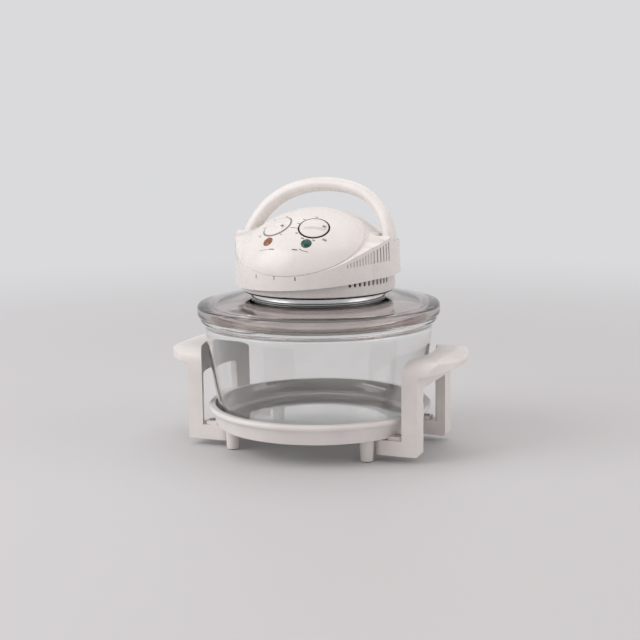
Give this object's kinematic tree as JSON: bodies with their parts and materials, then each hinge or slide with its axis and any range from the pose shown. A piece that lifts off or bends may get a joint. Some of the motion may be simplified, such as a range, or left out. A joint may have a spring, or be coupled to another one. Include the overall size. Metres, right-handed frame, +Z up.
{
  "type": "halogen oven",
  "caption": "Countertop halogen oven: glass bowl in a white stand with side handles, glass lid and a domed control head with a carrying handle.",
  "frame": {"origin": "on the table at the middle of the overall box, on the axis of the bowl", "axes": "+Z up along the bowl's axis, -Y towards the front of the control head, +X to its right"},
  "size_m": [0.4234, 0.34, 0.3736],
  "materials": {
    "white_plastic": "moulded gloss white polypropylene",
    "bowl_glass": "clear tempered glass",
    "lid_glass": "smoke-tinted tempered glass",
    "chrome": "polished chrome plate",
    "aluminium": "bright rolled aluminium",
    "steel": "zinc-plated pressed steel",
    "screw_steel": "plated steel screw",
    "black_rubber": "black silicone rubber",
    "grey_rubber": "grey rubber",
    "ceramic": "unglazed steatite",
    "lamp_glass": "clear quartz tube",
    "black_plastic": "black moulded nylon",
    "amber_lens": "tinted clear acrylic, amber",
    "green_lens": "tinted clear acrylic, green"
  },
  "bodies": {
    "stand": {"tray": "white_plastic", "feet": "white_plastic", "foot_pads": "grey_rubber", "handle_left": "white_plastic", "handle_right": "white_plastic", "handle_screws": "screw_steel"},
    "bowl": {"bowl": "bowl_glass"},
    "head": {"lid_glass": "lid_glass", "lid_gasket": "black_rubber", "retaining_ring": "chrome", "ring_screws": "screw_steel", "lamp_drum": "chrome", "heat_gasket": "black_rubber", "reflector": "aluminium", "halogen_tube": "lamp_glass", "lamp_holders": "ceramic", "heater_guard": "chrome", "motor": "steel", "motor_bracket": "steel", "head_base": "white_plastic", "head_shell": "white_plastic", "control_panel": "white_plastic", "knob_seals": "black_rubber", "timer_unit": "steel", "thermostat_unit": "steel", "power_lens": "green_lens", "heat_lens": "amber_lens", "pivot_pins": "steel", "microswitch": "black_plastic", "cord_gland": "black_rubber", "base_screws": "screw_steel"},
    "fan": {"convection_fan": "aluminium", "motor_shaft": "steel", "cooling_fan": "black_plastic"},
    "timer_dial": {"timer_knob": "white_plastic", "timer_spindle": "steel"},
    "thermostat_dial": {"thermostat_knob": "white_plastic", "thermostat_spindle": "steel"},
    "carry_handle": {"carry_handle": "white_plastic"},
    "plunger": {"switch_plunger": "black_plastic"}
  },
  "joints": [
    {"name": "bowl_lift", "type": "slide", "parent": "stand", "child": "bowl", "axis": [0, 0, 1], "range_m": [0, 0.12]},
    {"name": "lid_lift", "type": "slide", "parent": "bowl", "child": "head", "axis": [0, 0, 1], "range_m": [0, 0.06]},
    {"name": "carry_handle_swing", "type": "hinge", "parent": "head", "child": "carry_handle", "pos_m": [0, -0.005, 0.279], "axis": [1, 0, 0], "range_deg": [-14, 26]},
    {"name": "timer_turn", "type": "hinge", "parent": "head", "child": "timer_dial", "pos_m": [-0.028, -0.066, 0.31339], "axis": [0.2074, 0.4888, -0.8474], "range_deg": [0, 300]},
    {"name": "thermostat_turn", "type": "hinge", "parent": "head", "child": "thermostat_dial", "pos_m": [0.028, -0.066, 0.31339], "axis": [-0.2074, 0.4888, -0.8474], "range_deg": [0, 270]},
    {"name": "fan_spin", "type": "hinge", "parent": "head", "child": "fan", "pos_m": [0, 0, 0.212], "axis": [0, 0, 1], "continuous": true},
    {"name": "switch_press", "type": "slide", "parent": "head", "child": "plunger", "axis": [-1, 0, 0], "range_m": [0, 0.0012], "stiffness_N_per_m": 200, "springref_m": -0.0005}
  ]
}
